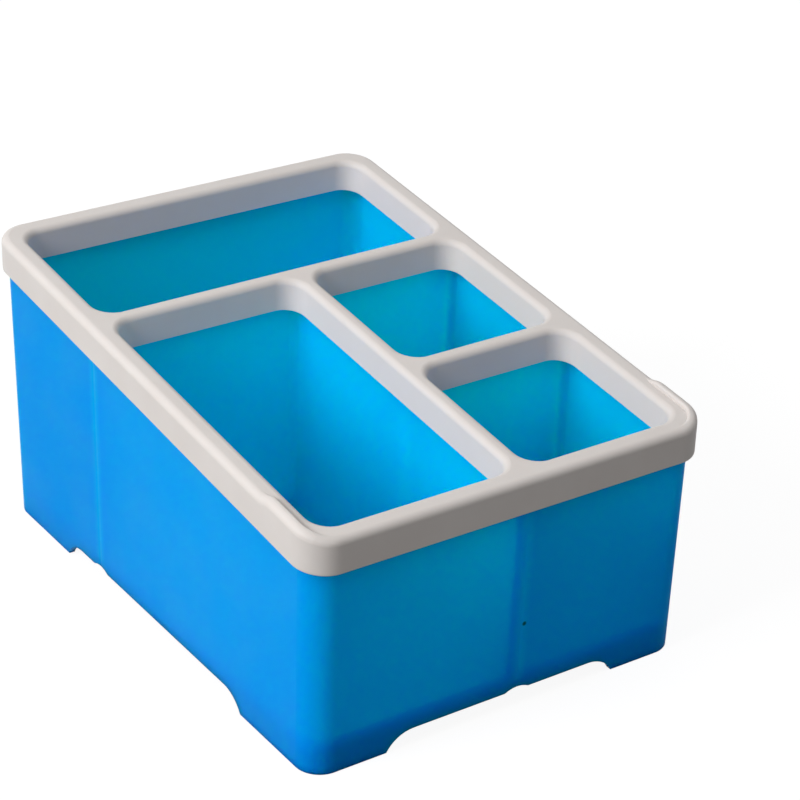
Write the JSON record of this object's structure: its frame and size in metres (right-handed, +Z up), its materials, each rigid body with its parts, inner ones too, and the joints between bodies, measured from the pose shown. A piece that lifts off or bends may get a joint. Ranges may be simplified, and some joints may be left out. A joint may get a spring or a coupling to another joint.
{
  "type": "stationery storage box",
  "caption": "Free-standing desk organiser: a drafted tub with deep compartments for pens and notes, under a push-on rim frame whose top slopes down towards the user.",
  "frame": {"origin": "middle of the footprint, on the desk under the feet", "axes": "+Z up; +X along the length towards the low end of the sloping top; +Y across the width towards the two small compartments"},
  "size_m": [0.18, 0.132, 0.0942],
  "materials": {
    "tub_plastic": "satin moulded polypropylene, bright blue",
    "rim_plastic": "satin moulded polypropylene, warm off-white"
  },
  "bodies": {
    "tub": {"tub": "tub_plastic"},
    "rim_frame": {"rim_frame": "rim_plastic"}
  },
  "joints": [
    {"name": "rim_frame_lift", "type": "slide", "parent": "tub", "child": "rim_frame", "axis": [0, 0, 1], "range_m": [0, 0.04]}
  ]
}
